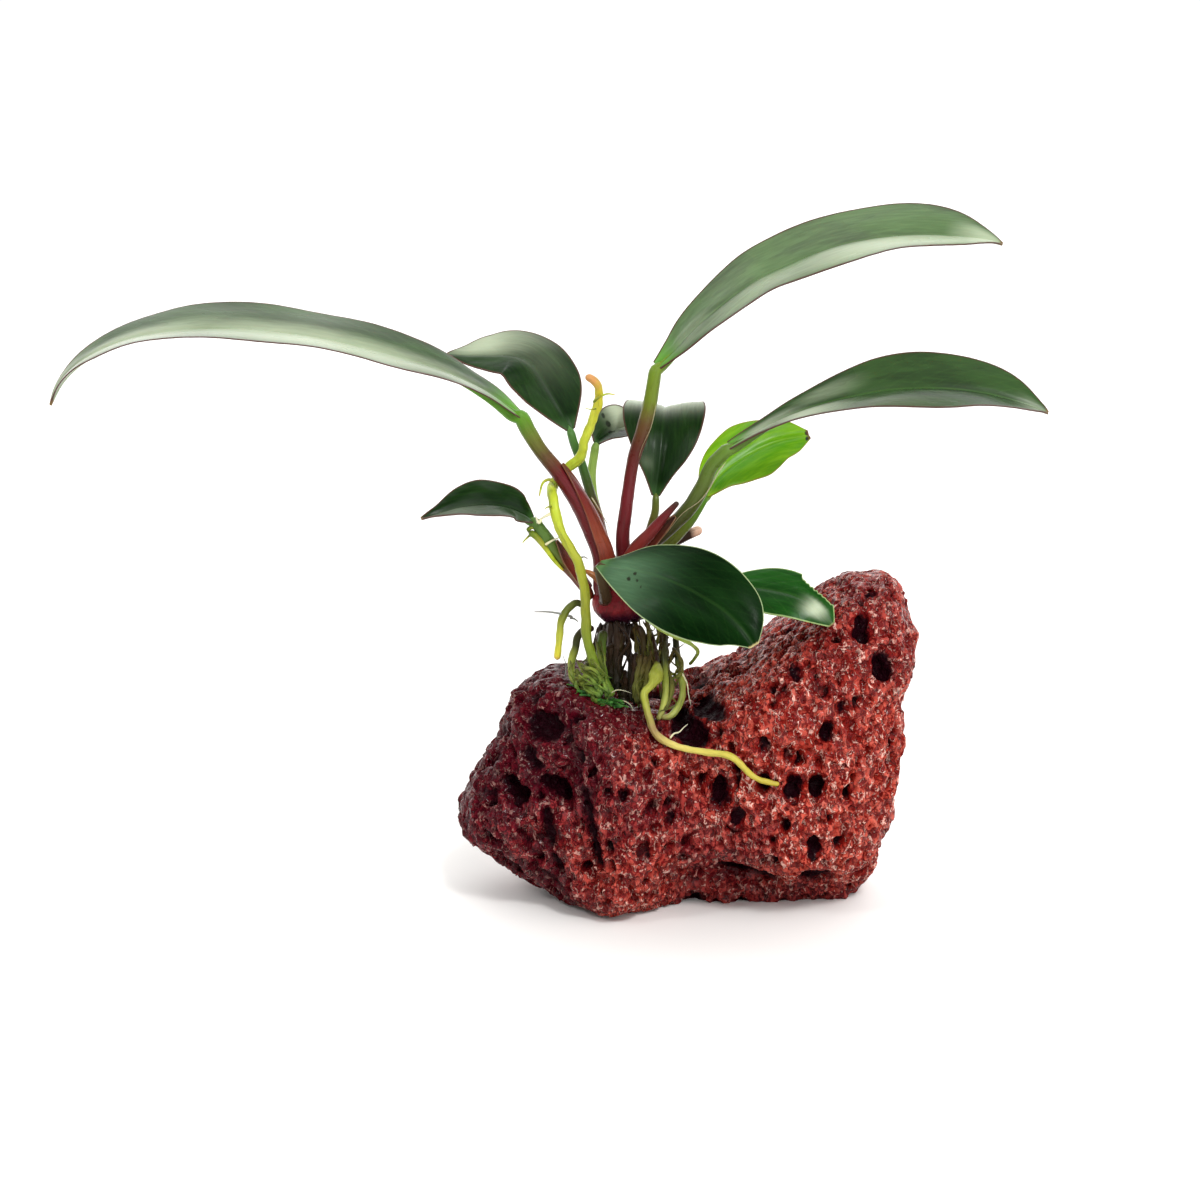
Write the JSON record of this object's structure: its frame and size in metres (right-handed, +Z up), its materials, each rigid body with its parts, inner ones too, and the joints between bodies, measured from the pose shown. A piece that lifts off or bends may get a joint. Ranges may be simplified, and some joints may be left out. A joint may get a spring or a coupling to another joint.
{
  "type": "anubias_on_stone",
  "caption": "Small water plant with long glossy green leaves, red stalks and bare green roots, grown on a lump of pitted red lava stone",
  "frame": {"origin": "on the flat under the stone, in the middle of its depth, where it stands", "axes": "+Z up from the surface it stands on, +X from the long left leaf's tip towards the tall end of the stone, -Y towards the viewer"},
  "size_m": [0.1583, 0.0485, 0.1144],
  "materials": {
    "lava_stone": "satin",
    "leaf_green": "gloss",
    "leaf_lime": "satin",
    "stalk_red": "satin",
    "stalk_green": "satin",
    "rhizome": "satin",
    "root_lime": "satin",
    "root_olive": "satin"
  },
  "bodies": {
    "root": {"lava_stone": "lava_stone", "rhizome": "rhizome", "leaf_long_left": "leaf_green", "leaf_upper_left": "leaf_green", "leaf_small_back": "leaf_green", "leaf_back_centre": "leaf_green", "leaf_long_upper_right": "leaf_green", "leaf_long_lower_right": "leaf_green", "leaf_young_lime": "leaf_lime", "leaf_front": "leaf_green", "leaf_right_torn": "leaf_green", "leaf_small_left": "leaf_green", "stalk_long_left": "stalk_red", "stalk_upper_left": "stalk_green", "stalk_small_back": "stalk_green", "stalk_back_centre": "stalk_green", "stalk_long_upper_right": "stalk_red", "stalk_long_lower_right": "stalk_green", "stalk_young_lime": "stalk_green", "stalk_front": "stalk_green", "stalk_right_torn": "stalk_green", "stalk_small_left": "stalk_green", "stalk_sheath": "stalk_red", "stalk_stub": "stalk_red", "root_climbing": "root_lime", "root_hanging": "root_olive", "root_over_stone": "root_lime", "root_loop_left": "root_olive", "root_loop_right": "root_olive", "root_left_outer": "root_olive", "root_left_inner": "root_olive", "root_left_back": "root_olive", "root_prop_front": "root_olive", "root_prop_back": "root_olive", "root_prop_right": "root_olive", "root_prop_far": "root_olive", "root_thin_right": "root_olive"}
  },
  "joints": []
}
